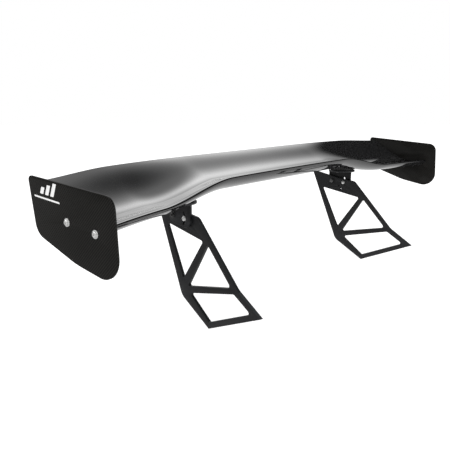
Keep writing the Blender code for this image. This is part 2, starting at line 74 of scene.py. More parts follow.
DISC_RADIUS, DISC_THICK, DISC_TOP = 0.050, 0.006, 0.3425
DISC_ALONG, DISC_OUT = 0.104, 0.0168
PAD_RADIUS = 0.043
PILOT_RADIUS = 0.008
CLAMP_RADIUS = 0.033
SWIVEL_LIMITS = (math.radians(-9.0), math.radians(21.0))
SLOT_MARGIN = math.radians(1.5)
M6, M8 = 0.003, 0.004
HOLE_GAP = 0.0003
EAR_REACH = 0.002           # the ear runs this far up into the flange

# ---------------------------------------------------------------- fineness of the shown meshes
SPAN_CELLS = 200
NOSE_STEPS = (0.0, 0.06, 0.12, 0.20, 0.30, 0.42, 0.56, 0.70, 0.85)
EDGE_BEVEL = 0.0007
SEAM_HALF = 0.0014          # the bond line's groove and dull strip, to each side
SEAM_DEPTH = 0.0007
TOW, ENDPLATE_TOW = 0.0024, 0.0018      # widths of one carbon tow
WELD_LEG, WELD_BITE = 0.0042, 0.0004


# ---------------------------------------------------------------- node helpers
class Nodes:
    """Short ways to build the node tree of a material, or of the world if one is given."""

    def __init__(self, name, world=None):
        self.material = world or bpy.data.materials.new(name)
        self.material.use_nodes = True
        self.tree = self.material.node_tree
        self.shader = self.tree.nodes["Background" if world else "Principled BSDF"]

    def add(self, kind, **values):
        node = self.tree.nodes.new(kind)
        for key, value in values.items():
            setattr(node, key, value)
        return node

    def feed(self, socket, value):
        if isinstance(value, bpy.types.NodeSocket):
            self.tree.links.new(value, socket)
        else:
            socket.default_value = value

    def math(self, operation, *values):
        node = self.add("ShaderNodeMath", operation=operation)
        for socket, value in zip(node.inputs, values):
            self.feed(socket, value)
        return node.outputs[0]

    def spread(self, value, low, high, to_low, to_high):
        node = self.add("ShaderNodeMapRange")
        node.interpolation_type = "SMOOTHSTEP"
        for socket, given in zip(node.inputs, (value, low, high, to_low, to_high)):
            self.feed(socket, given)
        return node.outputs[0]

    def blend(self, share, first, second):
        """A number between two numbers."""
        node = self.add("ShaderNodeMix", data_type="FLOAT")
        sockets = (node.inputs[0], node.inputs[2], node.inputs[3])
        for socket, value in zip(sockets, (share, first, second)):
            self.feed(socket, value)
        return node.outputs[0]

    def tint(self, share, first, second):
        """A colour between two colours."""
        node = self.add("ShaderNodeMix", data_type="RGBA")
        self.feed(node.inputs[0], share)
        for socket, value in zip(node.inputs[6:8], (first, second)):
            self.feed(socket, value if isinstance(value, bpy.types.NodeSocket) else (*value, 1.0))
        return node.outputs[2]

    def place(self, kind):
        return self.add("ShaderNodeTexCoord").outputs[kind]

    def scaled(self, vector, scale):
        node = self.add("ShaderNodeMapping")
        self.feed(node.inputs["Vector"], vector)
        node.inputs["Scale"].default_value = scale
        return node.outputs[0]

    def noise(self, vector, scale, detail=2.0, stretch=(1.0, 1.0, 1.0)):
        node = self.add("ShaderNodeTexNoise")
        self.feed(node.inputs["Vector"], self.scaled(vector, stretch))
        node.inputs["Scale"].default_value = scale
        node.inputs["Detail"].default_value = detail
        return node.outputs["Fac"]

    def bump(self, height, distance, strength):
        node = self.add("ShaderNodeBump")
        node.inputs["Strength"].default_value = strength
        node.inputs["Distance"].default_value = distance
        self.feed(node.inputs["Height"], height)
        return node.outputs[0]

    def window(self, value, rise_from, rise_to, fall_from, fall_to):
        """0 outside the rise and the fall, 1 between them."""
        rise = self.spread(value, rise_from, rise_to, 0.0, 1.0)
        return self.math("MULTIPLY", rise, self.spread(value, fall_from, fall_to, 1.0, 0.0))

    def edges(self):
        """1 on sharp outer edges, 0 elsewhere: a painted highlight on the black plates, real wear
        on the black steel.
        """
        pointed = self.add("ShaderNodeNewGeometry").outputs["Pointiness"]
        return self.spread(pointed, 0.50, 0.56, 0.0, 1.0)

    def set(self, **values):
        for key, value in values.items():
            self.feed(self.shader.inputs[key.replace("_", " ")], value)
        return self.material


def twill(nodes, across, along, tow):
    """2x2 twill from two coordinates in metres: which tow is on top, and the cloth's height."""
    column = nodes.math("DIVIDE", across, tow)
    row = nodes.math("DIVIDE", along, tow)
    cell = nodes.math("ADD", nodes.math("FLOOR", column), nodes.math("FLOOR", row))
    phase = nodes.math("FLOORED_MODULO", cell, 4.0)
    warp_up = nodes.math("LESS_THAN", phase, 1.5)
    in_column = nodes.math("FRACT", column)
    in_row = nodes.math("FRACT", row)
    round_warp = nodes.math("SINE", nodes.math("MULTIPLY", in_column, math.pi))
    round_weft = nodes.math("SINE", nodes.math("MULTIPLY", in_row, math.pi))
    run_warp = nodes.math("MULTIPLY", nodes.math("ADD", phase, in_row), 0.5)
    late = nodes.math("SUBTRACT", phase, 2.0)
    run_weft = nodes.math("MULTIPLY", nodes.math("ADD", late, in_column), 0.5)
    dip_warp = nodes.math("SINE", nodes.math("MULTIPLY", run_warp, math.pi))
    dip_weft = nodes.math("SINE", nodes.math("MULTIPLY", run_weft, math.pi))
    rounded = nodes.blend(warp_up, round_weft, round_warp)
    dipped = nodes.blend(warp_up, dip_weft, dip_warp)
    height = nodes.math("ADD", nodes.math("MULTIPLY", rounded, 0.55),
                        nodes.math("MULTIPLY", dipped, 0.45))
    return warp_up, height


def fibre_sheen(nodes, across, along, warp_up):
    """Fine streaks of painted fibre sheen that run along whichever tow is on top."""
    def streak(thin, long):
        joined = nodes.add("ShaderNodeCombineXYZ")
        nodes.feed(joined.inputs[0], nodes.math("MULTIPLY", thin, 5200.0))
        nodes.feed(joined.inputs[1], nodes.math("MULTIPLY", long, 260.0))
        noise = nodes.add("ShaderNodeTexNoise")
        nodes.feed(noise.inputs["Vector"], joined.outputs[0])
        noise.inputs["Scale"].default_value = 1.0
        noise.inputs["Detail"].default_value = 1.0
        return noise.outputs["Fac"]
    return nodes.blend(warp_up, streak(along, across), streak(across, along))


def carbon(name, source, tow, dark, light, roughness, coat, coat_roughness, seam=False):
    """Clear-coated twill; source is "UV" for skins or "Object" for the upright endplates."""
    nodes = Nodes(name)
    split = nodes.add("ShaderNodeSeparateXYZ")
    nodes.feed(split.inputs[0], nodes.place(source))
    across, along = (split.outputs[0], split.outputs[1]) if source == "UV" else split.outputs[1:3]
    warp_up, height = twill(nodes, across, along, tow)
    sheen_streaks = fibre_sheen(nodes, across, along, warp_up)
    # Painted fibre sheen: warp tows on top are lighter than weft tows, and the streaks along them
    # lighten and darken the colour itself; the colour also darkens where the cloth dips.
    shade = nodes.blend(warp_up, 0.25, 0.85)
    shade = nodes.math("MULTIPLY", shade, nodes.spread(height, 0.15, 0.9, 0.35, 1.0))
    shade = nodes.math("MULTIPLY", shade, nodes.spread(sheen_streaks, 0.3, 0.7, 0.75, 1.15))
    cloud = nodes.noise(nodes.place("Object"), 7.0)
    shade = nodes.math("MULTIPLY", shade, nodes.spread(cloud, 0.3, 0.7, 0.85, 1.1))
    colour = nodes.tint(shade, dark, light)
    fine = nodes.noise(nodes.place("Object"), 240.0, 3.0)
    coat_grain = nodes.spread(fine, 0.35, 0.65, coat_roughness * 0.8, coat_roughness * 1.35)
    coat_weight = coat
    base_roughness = nodes.blend(warp_up, roughness, roughness * 1.3)
    if seam:
        bond = nodes.spread(nodes.math("ABSOLUTE", split.outputs[1]),
                            SEAM_HALF * 0.55, SEAM_HALF, 1.0, 0.0)
        colour = nodes.tint(bond, colour, (0.0025, 0.0025, 0.0025))
        coat_weight = nodes.blend(bond, coat, 0.0)
        base_roughness = nodes.blend(bond, base_roughness, 0.75)
    cloth = nodes.bump(height, 0.00012, 0.55)
    orange_peel = nodes.bump(nodes.noise(nodes.place("Object"), 55.0, 2.0), 0.00003, 0.06)
    nodes.set(Base_Color=colour, Metallic=0.0, Specular_IOR_Level=0.0,
              Roughness=base_roughness, Normal=cloth,
              Coat_Weight=coat_weight, Coat_Roughness=coat_grain, Coat_IOR=1.52,
              Coat_Normal=orange_peel)
    return nodes.material


def anodised(name, colour=(0.0075, 0.0075, 0.0080), roughness=0.42):
    """Satin black plate: fine bead-blast grain, faint mill lines, and a painted highlight that
    turns its sharp edges pale bluish grey.
    """
    nodes = Nodes(name)
    where = nodes.place("Object")
    grain = nodes.noise(where, 1900.0, 2.0)
    lines = nodes.noise(where, 60.0, 2.0, (1.0, 1.0, 28.0))
    cloud = nodes.noise(where, 9.0, 2.0)
    edge_highlight_and_wear = nodes.edges()
    body = nodes.tint(nodes.spread(cloud, 0.3, 0.7, 0.0, 1.0), [0.85 * part for part in colour],
                      [1.2 * part for part in colour])
    # Painted highlight: the sharp edges are tinted pale bluish grey, as if catching light.
    shade = nodes.tint(nodes.math("MULTIPLY", edge_highlight_and_wear, 0.55), body, (0.050, 0.051, 0.056))
    rough = nodes.math("ADD", nodes.spread(grain, 0.3, 0.7, roughness - 0.05, roughness + 0.07),
                       nodes.math("MULTIPLY", nodes.math("SUBTRACT", lines, 0.5), 0.12))
    height = nodes.math("ADD", grain, nodes.math("MULTIPLY", lines, 0.5))
    return nodes.set(Base_Color=shade, Roughness=rough, Metallic=0.0, Specular_IOR_Level=0.24,
                     Normal=nodes.bump(height, 0.00003, 0.5))


def steel(name, colour=(0.80, 0.80, 0.79), roughness=0.16):
    """Bright plated fastener with turning marks and small stains; part of its shine is diffuse."""
    nodes = Nodes(name)
    where = nodes.place("Object")
    fine = nodes.noise(where, 2600.0, 2.0)
    blotch = nodes.noise(where, 160.0, 3.0)
    stained = nodes.tint(nodes.spread(blotch, 0.45, 0.75, 0.0, 0.55), colour,
                         [0.55 * part for part in colour])
    rough = nodes.spread(blotch, 0.3, 0.7, roughness, roughness + 0.16)
    return nodes.set(Base_Color=stained, Roughness=rough, Metallic=0.55,
                     Normal=nodes.bump(fine, 0.00002, 0.5))


def black_oxide(name):
    """Oiled black steel, rubbed brighter on its edges."""
    nodes = Nodes(name)
    where = nodes.place("Object")
    blotch = nodes.noise(where, 210.0, 3.0)
    edge_highlight_and_wear = nodes.math("MULTIPLY", nodes.edges(), 0.6)
    body = nodes.tint(blotch, (0.014, 0.014, 0.015), (0.032, 0.031, 0.030))
    return nodes.set(Base_Color=nodes.tint(edge_highlight_and_wear, body, (0.22, 0.22, 0.22)), Metallic=0.75,
                     Roughness=nodes.spread(blotch, 0.3, 0.7, 0.30, 0.48),
                     Normal=nodes.bump(nodes.noise(where, 2400.0, 2.0), 0.00002, 0.4))


def rubber(name):
    """Moulded pad: dull, finely pebbled, with dusty patches."""
    nodes = Nodes(name)
    where = nodes.place("Object")
    pebble = nodes.add("ShaderNodeTexVoronoi")
    nodes.feed(pebble.inputs["Vector"], where)
    pebble.inputs["Scale"].default_value = 900.0
    dust = nodes.spread(nodes.noise(where, 45.0, 4.0), 0.45, 0.75, 0.0, 1.0)
    return nodes.set(Base_Color=nodes.tint(dust, (0.016, 0.016, 0.016), (0.034, 0.033, 0.032)),
                     Roughness=nodes.blend(dust, 0.62, 0.82),
                     Normal=nodes.bump(pebble.outputs["Distance"], 0.00008, 0.6))


def raw_metal(name):
    """Machined aluminium insert with tool marks."""
    nodes = Nodes(name)
    where = nodes.place("Object")
    marks = nodes.noise(where, 420.0, 2.0, (1.0, 0.05, 1.0))
    return nodes.set(Base_Color=nodes.tint(marks, (0.52, 0.53, 0.55), (0.72, 0.73, 0.75)),
                     Metallic=1.0, Roughness=nodes.spread(marks, 0.3, 0.7, 0.28, 0.46),
                     Normal=nodes.bump(marks, 0.00004, 0.5))


def vinyl(name):
    """Matt white decal film, faintly mottled."""
    nodes = Nodes(name)
    where = nodes.place("Object")
    mottle = nodes.noise(where, 380.0, 3.0)
    return nodes.set(Base_Color=nodes.tint(mottle, (0.80, 0.80, 0.79), (0.90, 0.90, 0.90)),
                     Roughness=nodes.spread(mottle, 0.3, 0.7, 0.42, 0.58),
                     Normal=nodes.bump(mottle, 0.00002, 0.4))


# ---------------------------------------------------------------- mesh helpers
def finish_mesh(name, shape, sharp_angle=35.0):
    bmesh.ops.recalc_face_normals(shape, faces=shape.faces)
    mesh = bpy.data.meshes.new(name)
    shape.to_mesh(mesh)
    shape.free()
    mesh.shade_smooth()
    mesh.set_sharp_from_angle(angle=math.radians(sharp_angle))
    return mesh


def applied(obj, name, sharp_angle=35.0):
    """The object's mesh with its modifiers applied, welded; the object is removed."""
    bpy.context.view_layer.update()
    graph = bpy.context.evaluated_depsgraph_get()
    mesh = bpy.data.meshes.new_from_object(obj.evaluated_get(graph))
    bpy.data.objects.remove(obj)
    shape = bmesh.new()
    shape.from_mesh(mesh)
    bpy.data.meshes.remove(mesh)
    bmesh.ops.remove_doubles(shape, verts=shape.verts, dist=0.000005)
    return finish_mesh(name, shape, sharp_angle)


def temporary(name, data):
    obj = bpy.data.objects.new(name, data)
    bpy.context.scene.collection.objects.link(obj)
    return obj


def combine(name, base, cutters=(), additions=(), keep=()):
    """Boolean meshes into, out of, or against a base mesh."""
    holder = temporary(name, base)
    tools = []
    for operation, meshes in (("UNION", additions), ("INTERSECT", keep), ("DIFFERENCE", cutters)):
        for mesh in meshes:
            tool = temporary("tool", mesh)
            tools.append(tool)
            modifier = holder.modifiers.new("Boolean", "BOOLEAN")
            modifier.operation = operation
            modifier.solver = "EXACT"
            modifier.object = tool
    result = applied(holder, name)
    for tool in tools:
        bpy.data.objects.remove(tool)
    return result


def show(name, mesh, material, body, nodes, place=Matrix()):
    """Make one shown piece, put it in place and ride it on its body."""
    mesh.transform(Matrix.Translation((0.0, HEEL_TO_ORIGIN, 0.0)) @ place)
    mesh.materials.clear()
    mesh.materials.append(material)
    obj = bpy.data.objects.new(name, mesh)
    bpy.context.scene.collection.objects.link(obj)
    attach(obj, body)
    if nodes:
        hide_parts(*nodes)


def rounded_outline(corners, steps=5):
    """Points of a closed outline whose corners (a, b, radius) are rounded by arcs."""
    points = []
    count = len(corners)
    for index, (a, b, radius) in enumerate(corners):
        corner = Vector((a, b))
        if radius == 0.0:
            points.append(corner)
            continue
        before = (Vector(corners[index - 1][:2]) - corner).normalized()
        after = (Vector(corners[(index + 1) % count][:2]) - corner).normalized()
        half = before.angle(after) / 2.0
        middle = corner + (before + after).normalized() * radius / math.sin(half)
        start = corner + before * radius / math.tan(half) - middle
        end = corner + after * radius / math.tan(half) - middle
        turn = start.angle_signed(end)
        for step in range(steps + 1):
            spoke = start.copy()
            spoke.rotate(Matrix.Rotation(-turn * step / steps, 2))
            points.append(middle + spoke)
    return points


def circle(centre, radius, steps=40):
    angles = [2.0 * math.pi * step / steps for step in range(steps)]
    return [Vector((centre[0] + radius * math.cos(angle), centre[1] + radius * math.sin(angle)))
            for angle in angles]


def arc_slot(centre, radius, start, end, half_width, steps=18, cap_steps=10):
    """Outline of a round-ended slot that follows an arc about centre."""
    points = []
    for side, first, last in ((1.0, start, end), (-1.0, end, start)):
        for step in range(steps + 1):
            angle = first + (last - first) * step / steps
            reach = radius + side * half_width
            points.append(Vector((centre[0] + reach * math.cos(angle),
                                  centre[1] + reach * math.sin(angle))))
        cap = Vector((centre[0] + radius * math.cos(last), centre[1] + radius * math.sin(last)))
        for step in range(1, cap_steps):
            angle = last + (0.0 if side > 0.0 else math.pi) + math.pi * step / cap_steps
            points.append(cap + half_width * Vector((math.cos(angle), math.sin(angle))))
    return points


def flat_plate(name, outlines, thickness, bevel=EDGE_BEVEL, rounds=2):
    """A plate with eased edges; the first outline is its rim and the others its holes."""
    curve = bpy.data.curves.new(name, "CURVE")
    curve.dimensions = "2D"
    curve.fill_mode = "BOTH"
    curve.extrude = thickness / 2.0 - bevel
    curve.bevel_depth = bevel
    curve.bevel_resolution = rounds
    curve.offset = -bevel
    for outline in outlines:
        spline = curve.splines.new("POLY")
        spline.points.add(len(outline) - 1)
        for point, place in zip(spline.points, outline):
            point.co = (place[0], place[1], 0.0, 1.0)
        spline.use_cyclic_u = True
    mesh = applied(temporary(name, curve), name, 50.0)
    bpy.data.curves.remove(curve)
    return mesh


def stand_up(mesh, outward):
    """Turn a plate drawn in XY so that its first axis is Y, its second Z, at X = outward."""
    mesh.transform(Matrix(((0, 0, 1, outward), (1, 0, 0, 0), (0, 1, 0, 0), (0, 0, 0, 1))))
    return mesh


def turned(name, profile, steps=40, sharp_angle=32.0):
    """A solid of revolution about Z; the profile (radius, height) runs from top to bottom."""
    shape = bmesh.new()
    rows = []
    for radius, height in profile:
        if radius == 0.0:
            rows.append([shape.verts.new((0.0, 0.0, height))])
        else:
            rows.append([shape.verts.new((point.x, point.y, height))
                         for point in circle((0.0, 0.0), radius, steps)])
    for upper, lower in zip(rows, rows[1:]):
        for index in range(steps):
            after = (index + 1) % steps
            ring = [upper[index % len(upper)], lower[index % len(lower)],
                    lower[after % len(lower)], upper[after % len(upper)]]
            corners = [vert for at, vert in enumerate(ring) if vert not in ring[:at]]
            shape.faces.new(corners)
    return finish_mesh(name, shape, sharp_angle)


def prism(name, outline, low, high):
    shape = bmesh.new()
    bottom = [shape.verts.new((point.x, point.y, low)) for point in outline]
    top = [shape.verts.new((point.x, point.y, high)) for point in outline]
    shape.faces.new(bottom)
    shape.faces.new(top)
    for index in range(len(outline)):
        after = (index + 1) % len(outline)
        shape.faces.new((bottom[index], bottom[after], top[after], top[index]))
    return finish_mesh(name, shape)


# ---------------------------------------------------------------- aerofoil, as in the CAD source
def ease(value, start, end):
    share = min(max((value - start) / (end - start), 0.0), 1.0)
    return share * share * (3.0 - 2.0 * share)


def nose_point(x):
    reach = abs(x)
    y = NOSE_Y - NOSE_SWEEP * (reach / TIP) ** NOSE_SWEEP_POWER
    z = NOSE_Z - NOSE_DROP * ease(reach, NOSE_DROP_START, NOSE_DROP_END)
    return Vector((y, z))


def tail_point(x):
    reach = abs(x)
    swept = max(reach - TAIL_SWEEP_START, 0.0) / (TIP - TAIL_SWEEP_START)
    y = TAIL_Y - TAIL_SWEEP * swept ** TAIL_SWEEP_POWER
    z = TAIL_Z - TAIL_DROP * ease(reach, TAIL_DROP_START, TIP)
    return Vector((y, z))


def half_thickness(x, share):
    widest = HALF_THICK_MID + (HALF_THICK_TIP - HALF_THICK_MID) * ease(abs(x), 0.0, TIP)
    return widest * THICK_SHAPE * math.sqrt(share) * (1.0 - share) ** 2 + TAIL_HALF_THICK * share


def camber_point(x, share):
    nose = nose_point(x)
    chord = tail_point(x) - nose
    up = Vector((-chord.y, chord.x)).normalized()

    def middle(fraction):
        bend = CAMBER_FRONT * (1.0 - fraction) + CAMBER_REAR * fraction
        return nose + chord * fraction - up * fraction * (1.0 - fraction) * bend

    small = 0.0005
    along = (middle(share + small) - middle(share - small)).normalized()
    return middle(share), Vector((-along.y, along.x))


def surface_point(x, step, side, depth=0.0):
    """A point under the upper (side 1) or lower (side -1) surface, depth inside it."""
    def outer(at):
        share = (at / CHORD_STEPS) ** 2
        place, normal = camber_point(x, share)
        return place + normal * side * half_thickness(x, share)

    if step == 0:
        place, normal = camber_point(x, 0.0)
        inward = Vector((normal.y, -normal.x))
        return place + normal * side * GAP / 2.0 + inward * depth
    along = (outer(step + 0.02) - outer(step - 0.02)).normalized()
    inward = Vector((along.y, -along.x)) * side
    return outer(step) + inward * depth


def chord_rows():
    return [*NOSE_STEPS, *[1.0 + 0.25 * step for step in range(4 * (CHORD_STEPS - 1) + 1)]]


def skin_mesh(name, side):
    """One laminate of constant thickness, finely divided, unrolled into UVs in metres."""
    shape = bmesh.new()
    uv = shape.loops.layers.uv.new("cloth")
    steps = chord_rows()
    flat = {}
    rows = []
    for cell in range(SPAN_CELLS + 1):
        x = -TIP + 2.0 * TIP * cell / SPAN_CELLS
        outer = []
        inner = []
        run = 0.0
        before = None
        for step in steps:
            point = surface_point(x, step, side)
            run += (point - before).length if before is not None else 0.0
            before = point
            sunk = SEAM_DEPTH * max(0.0, 1.0 - run / SEAM_HALF) ** 2
            groove = surface_point(x, step, side, sunk)
            top = shape.verts.new((x, groove.x, groove.y))
            deep = surface_point(x, step, side, SKIN)
            under = shape.verts.new((x, deep.x, deep.y))
            flat[top] = flat[under] = (x, run * side)
            outer.append(top)
            inner.append(under)
        rows.append(outer + inner[::-1])
    count = len(rows[0])
    for row, following in zip(rows, rows[1:]):
        for index in range(count):
            after = (index + 1) % count
            shape.faces.new((row[index], row[after], following[after], following[index]))
    for row in (rows[0], rows[-1]):
        last = count - 1
        for index in range(count // 2 - 1):
            shape.faces.new((row[index], row[index + 1], row[last - index - 1], row[last - index]))
    for face in shape.faces:
        for loop in face.loops:
            loop[uv].uv = flat[loop.vert]
    return finish_mesh(name, shape, 40.0)


def lower_height(x, y):
    """Height of the wing's lower surface above a point, all from the heel datum."""
    low, high = 0.5, float(CHORD_STEPS)
    for _ in range(30):
        middle = (low + high) / 2.0
        if surface_point(x, middle, -1.0).x < y:
            low = middle
        else:
            high = middle
    return surface_point(x, low, -1.0).y


# ---------------------------------------------------------------- places
def plate_frame(side):
    return Matrix.Translation((side * PLATE_X, 0.0, 0.0)) @ Matrix.Rotation(side * TOE, 4, "Z")


def disc_centre(side):
    return plate_frame(side) @ Vector((side * DISC_OUT, DISC_ALONG, 0.0))


def across_plate(side, outward, at):
    turn = Matrix.Rotation(side * math.pi / 2.0, 4, "Y")
    return plate_frame(side) @ Matrix.Translation((side * outward, at[0], at[1])) @ turn


# ---------------------------------------------------------------- fasteners
def thread_profile(radius, start, end, pitch):
    """Ridges down a shank from start to end, both below the head."""
    points = []
    depth = start
    while depth - pitch > end:
        points += [(radius, depth), (radius * 0.88, depth - pitch / 2.0)]
        depth -= pitch
    return points


def screw_mesh(name, shank, head, height, length, thread=0.0):
    """Button-head screw with a hexagon socket; its head sits on Z = 0."""
    profile = [(0.0, height)]
    for step in range(1, 9):
        angle = math.radians(90.0 - 10.5 * step)
        radius = head * math.cos(angle) / math.cos(math.radians(6.0))
        profile.append((min(radius, head), height * 0.30 + height * 0.70 * math.sin(angle)))
    profile += [(head, height * 0.24), (head * 0.965, 0.0), (shank, 0.0)]
    if thread:
        profile.append((shank, -length + thread))
        profile += thread_profile(shank, -length + thread, -length + shank * 0.4, shank * 0.28)
    profile += [(shank, -length + shank * 0.35), (shank * 0.75, -length), (0.0, -length)]
    body = turned(name, profile)
    socket = prism("socket", circle((0.0, 0.0), head * 0.50, 6), height * 0.30, height + 0.01)
    return combine(name, body, cutters=[socket])


def washer_mesh(name, hole, outer, thickness):
    outlines = [circle((0.0, 0.0), outer, 48), circle((0.0, 0.0), hole, 32)]
    return flat_plate(name, outlines, thickness, 0.0003)


def nut_mesh(name, hole, across_flats, height):
    """Hexagon nut from Z = 0 upward, with turned-off corners."""
    corner = across_flats / math.sqrt(3.0)
    block = prism("hex", circle((0.0, 0.0), corner, 6), 0.0, height)
    eased = corner - across_flats / 2.0
    facing = across_flats * 0.47
    outside = corner + 0.0002
    cone = turned("cone", [(0.0, height), (facing, height), (outside, height - eased),
                           (outside, eased), (facing, 0.0), (0.0, 0.0)])
    bore = turned("bore", [(0.0, height + 0.001), (hole + 0.0007, height + 0.0007),
                           (hole, height - 0.0005), (hole, 0.0005), (hole + 0.0007, -0.0007),
                           (0.0, -0.001)])
    return combine(name, block, keep=[cone], cutters=[bore])


# ---------------------------------------------------------------- shown pieces
def build_wing():
    for label, side in (("upper", 1.0), ("lower", -1.0)):
        node = "wing_" + label + "_skin"
        material = carbon(label + "_carbon", "UV", TOW, (0.002, 0.002, 0.002),
                          (0.026, 0.026, 0.027), 0.36, 1.0, 0.045, seam=True)
        show("shown_" + node, skin_mesh(node, side), material, "wing", [node])


def build_endplate(side, label):
    holes = [circle(place, M6 + HOLE_GAP) for place in ENDPLATE_SCREWS]
    outlines = [rounded_outline(ENDPLATE_CORNERS, 14), *holes]
    plate = stand_up(flat_plate("endplate", outlines, ENDPLATE_THICK), 0.0)
    material = carbon("endplate_carbon_" + label, "Object", ENDPLATE_TOW, (0.003, 0.003, 0.003),
                      (0.024, 0.023, 0.021), 0.42, 0.26, 0.16)
    middle = side * (SPAN - ENDPLATE_THICK) / 2.0
    show("shown_endplate_" + label, plate, material, "wing", ["endplate_" + label],
         Matrix.Translation((middle, 0.0, 0.0)))
    turn = Matrix.Rotation(side * math.pi / 2.0, 4, "Y")
    for position, place in zip(("front", "rear"), ENDPLATE_SCREWS):
        washer_x = SPAN / 2.0 + GAP + ENDPLATE_WASHER_THICK / 2.0
        head_x = washer_x + ENDPLATE_WASHER_THICK / 2.0 + GAP
        tag = position + "_" + label
        washer = washer_mesh("washer", M6 + HOLE_GAP, ENDPLATE_WASHER_RADIUS, ENDPLATE_WASHER_THICK)
        show("shown_endplate_washer_" + tag, washer, STEEL, "wing",
             ["endplate_washer_" + tag],
             Matrix.Translation((side * washer_x, *place)) @ turn)
        show("shown_endplate_screw_" + tag, screw_mesh("screw", M6, 0.0068, 0.0038, 0.020),
             STEEL, "wing", ["endplate_screw_" + tag],
             Matrix.Translation((side * head_x, *place)) @ turn)


def build_bars(side, label):
    """Generic slanted bars on the endplate's outer face, where a maker would put a decal."""
    thickness = 0.00025
    shape = []
    foot_y, foot_z = 0.136, 0.4105
    width, slope, corner = 0.012, 0.0008, 0.0012
    for index, height in enumerate((0.014, 0.021, 0.028)):
        start = foot_y - 0.019 * index
        rise = -0.0015 * index
        lean = 0.45 * height
        low = foot_z + rise
        shape.append(((start, low, corner), (start - width, low - slope, corner),
                      (start - width - lean, low + height, corner),
                      (start - lean, low + height + slope, corner)))
    shape.append(((0.160, 0.4055, 0.0010), (0.066, 0.3980, 0.0010), (0.0635, 0.3940, 0.0010),
                  (0.1575, 0.4015, 0.0010)))
    outlines = [rounded_outline(corners, 5) for corners in shape]
    film = stand_up(flat_plate("bars", outlines, thickness, 0.00005, 1), 0.0)
    show("endplate_bars_" + label, film, VINYL, "wing", [],
         Matrix.Translation((side * (SPAN / 2.0 + thickness / 2.0 + 0.00002), 0.0, 0.0)))


def build_mount_pad(side, label):
    """Contour block whose top follows the wing's lower surface; its pilot stops above the ear."""
    centre = disc_centre(side)
    steps = 72
    low = DISC_TOP + GAP
    shape = bmesh.new()
    rings = []
    pilot_end = DISC_TOP - DISC_THICK + EAR_REACH + GAP
    for radius, height in ((PILOT_RADIUS, pilot_end), (PILOT_RADIUS, low),
                           (PAD_RADIUS - 0.0012, low), (PAD_RADIUS - 0.0003, low + 0.0004),
                           (PAD_RADIUS, low + 0.0012)):
        rings.append([Vector((*point, height)) for point in circle(centre, radius, steps)])
    for share in (1.0, 0.985, 0.8, 0.6, 0.4, 0.2):
        ring = []
        for point in circle(centre, PAD_RADIUS * share, steps):
            top = lower_height(point.x, point.y) - GAP
            if share == 1.0:
                top -= 0.0008
            ring.append(Vector((point.x, point.y, top)))
        rings.append(ring)
    rows = [[shape.verts.new(point) for point in ring] for ring in rings]
    for row, following in zip(rows, rows[1:]):
        for index in range(steps):
            after = (index + 1) % steps
            shape.faces.new((row[index], row[after], following[after], following[index]))
    shape.faces.new(rows[0])
    shape.faces.new(rows[-1])
    show("shown_mount_pad_" + label, finish_mesh("pad", shape, 40.0), RUBBER, "wing",
         ["mount_pad_" + label])


def build_bracket(side, label, body):
    """Round flange with a hanging ear and a weld bead in the corner between them."""
    floor = DISC_TOP - DISC_THICK
    lever = Vector(LOCK) - Vector(PIVOT)
    middle = math.atan2(lever.y, lever.x)
    sweep = TILT_LIMIT + SLOT_MARGIN
    lock_slot = arc_slot(PIVOT, lever.length, middle - sweep, middle + sweep, M6 + HOLE_GAP)
    edge = rounded_outline(((EAR_FRONT, floor + EAR_REACH, 0.0), (EAR_FRONT, 0.267, 0.023),
                            (EAR_BACK, 0.281, 0.017), (EAR_BACK, floor + EAR_REACH, 0.0)), 14)
    holes = [circle(PIVOT, M8 + HOLE_GAP), lock_slot]
    ear_x = side * (PLATE_THICK / 2.0 + GAP + EAR_THICK / 2.0)
    ear = stand_up(flat_plate("ear", [edge, *holes], EAR_THICK), ear_x)
    centre = (side * DISC_OUT, DISC_ALONG)
    slots = []
    for outward in (1.0, -1.0):
        facing = (0.0 if side * outward > 0.0 else math.pi) - side * TOE
        limits = sorted(side * limit for limit in SWIVEL_LIMITS)
        slots.append(arc_slot(centre, CLAMP_RADIUS, facing + limits[0] - SLOT_MARGIN,
                              facing + limits[1] + SLOT_MARGIN, M6 + HOLE_GAP, 14))
    disc = flat_plate("disc", [circle(centre, DISC_RADIUS, 96), *slots,
                               circle(centre, PILOT_RADIUS + HOLE_GAP)], DISC_THICK)
    disc.transform(Matrix.Translation((0.0, 0.0, DISC_TOP - DISC_THICK / 2.0)))
    bead_x = ear_x + side * (EAR_THICK / 2.0 - WELD_BITE)
    bead = weld_mesh("bead", side, bead_x, floor + WELD_BITE, 0.069, 0.146)
    bracket = combine("bracket", disc, additions=[ear, bead])
    show("shown_swivel_bracket_" + label, bracket, PLATE_BLACK, body,
         ["swivel_bracket_" + label], plate_frame(side))


def weld_mesh(name, side, x, z, start, end):
    """Fillet bead along Y in the corner at (x, z), rippled like a hand-run weld."""
    shape = bmesh.new()
    rows = []
    ripples = 44
    for index in range(ripples + 1):
        y = start + (end - start) * index / ripples
        leg = WELD_LEG + (0.0005 if index % 2 else 0.0)
        ends = min(index, ripples - index)
        leg *= min(1.0, 0.55 + 0.15 * ends)
        bulge = leg * 0.62
        rows.append([shape.verts.new(point) for point in (
            (x, y, z), (x + side * leg, y, z),
            (x + side * bulge, y, z - bulge * 0.75), (x, y, z - leg))])
    for row, following in zip(rows, rows[1:]):
        for index in range(4):
            after = (index + 1) % 4
            shape.faces.new((row[index], row[after], following[after], following[index]))
    shape.faces.new(rows[0])
    shape.faces.new(rows[-1])
    return finish_mesh(name, shape, 60.0)


def build_clamp_screws(side, label):
    centre = disc_centre(side)
    for position, sign in (("inner", -1.0), ("outer", 1.0)):
        x = centre.x + sign * side * CLAMP_RADIUS
        tag = position + "_" + label
        place = Matrix.Translation((x, centre.y, DISC_TOP - DISC_THICK - GAP))
        show("shown_clamp_screw_" + tag, screw_mesh("clamp", M6, 0.0060, 0.0042, 0.029),
             OXIDE, "wing", ["clamp_screw_" + tag],
             place @ Matrix.Rotation(math.pi, 4, "X"))


